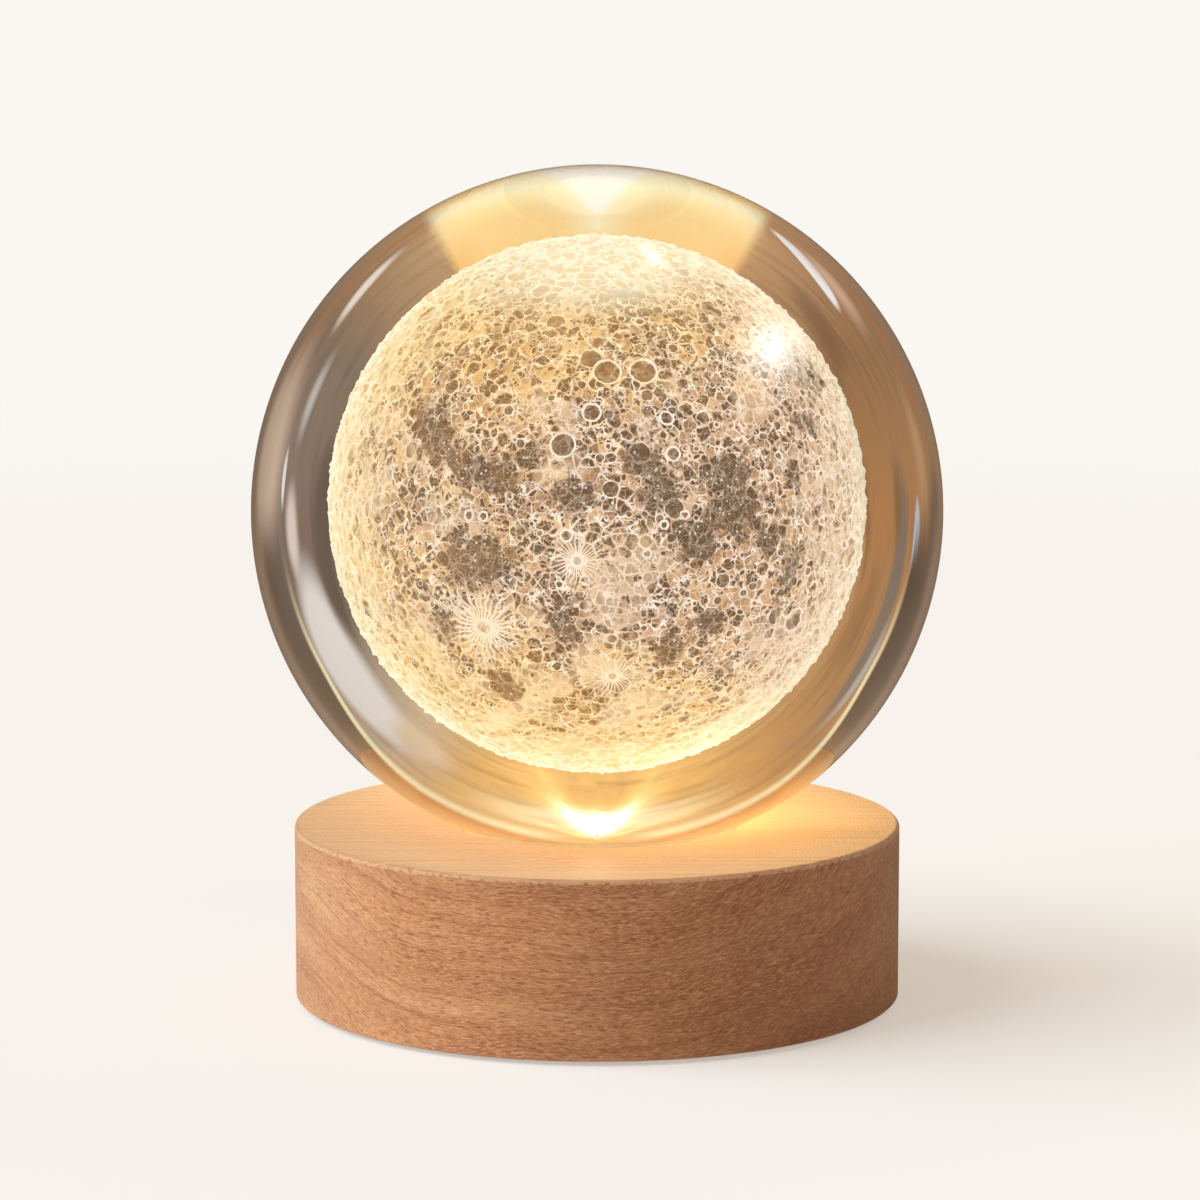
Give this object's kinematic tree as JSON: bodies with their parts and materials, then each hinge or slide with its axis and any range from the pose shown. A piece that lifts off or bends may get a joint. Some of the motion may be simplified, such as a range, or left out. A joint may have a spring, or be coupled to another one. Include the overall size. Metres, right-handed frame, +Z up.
{
  "type": "moon lamp",
  "caption": "Crystal ball night light: a glass ball with a moon engraved inside, resting on a round lit beech base.",
  "frame": {"origin": "centre of the lamp's footprint, on the table under the four feet", "axes": "+Z up; -Y towards the front; +Y towards the charging inlet and the button at the back"},
  "size_m": [0.08, 0.08, 0.0971],
  "materials": {
    "beech": "oiled",
    "crystal": "polished",
    "engraving": "frosted, lit from below",
    "clear_silicone": "translucent",
    "frosted_window": "frosted, emissive",
    "white_moulding": "gloss",
    "led_board": "white solder mask on aluminium",
    "led_phosphor": "emissive",
    "led_resin": "clear",
    "steel_screw": "zinc plated",
    "red_wire": "satin",
    "black_wire": "satin",
    "circuit_board": "solder mask",
    "black_epoxy": "matte",
    "chip_ceramic": "matte",
    "socket_steel": "drawn",
    "brown_moulding": "fine texture",
    "ivory_moulding": "satin",
    "cell_pouch": "laminated foil",
    "foam_tape": "matte",
    "black_cover": "fine texture",
    "foot_rubber": "matte"
  },
  "bodies": {
    "base": {"wood_base": "beech", "seat_ring": "clear_silicone", "light_window": "frosted_window", "reflector_ring": "white_moulding", "led_board": "led_board", "led_chips": "led_phosphor", "led_lenses": "led_resin", "led_board_screws": "steel_screw", "led_wire_red": "red_wire", "led_wire_black": "black_wire", "charging_board": "circuit_board", "board_chips": "black_epoxy", "board_passives": "chip_ceramic", "board_screws": "steel_screw", "usb_socket_shell": "socket_steel", "usb_socket_tongue": "black_epoxy", "usb_inlet": "brown_moulding", "battery_header": "ivory_moulding", "battery_plug": "ivory_moulding", "battery_wire_red": "red_wire", "battery_wire_black": "black_wire", "battery_cell": "cell_pouch", "battery_foam": "foam_tape", "switch_body": "black_epoxy", "button_sleeve": "brown_moulding", "bottom_cover": "black_cover", "cover_screws": "steel_screw", "foot_1": "foot_rubber", "foot_2": "foot_rubber", "foot_3": "foot_rubber", "foot_4": "foot_rubber"},
    "ball": {"crystal_ball": "crystal", "engraved_moon": "engraving"},
    "button": {"power_button": "brown_moulding", "switch_plunger": "ivory_moulding"}
  },
  "joints": [
    {"name": "lift_ball", "type": "slide", "parent": "base", "child": "ball", "axis": [0, 0, 1], "range_m": [0, 0.06]},
    {"name": "press_button", "type": "slide", "parent": "base", "child": "button", "axis": [0, -1, 0], "range_m": [0, 0.0005], "stiffness_N_per_m": 1500}
  ]
}
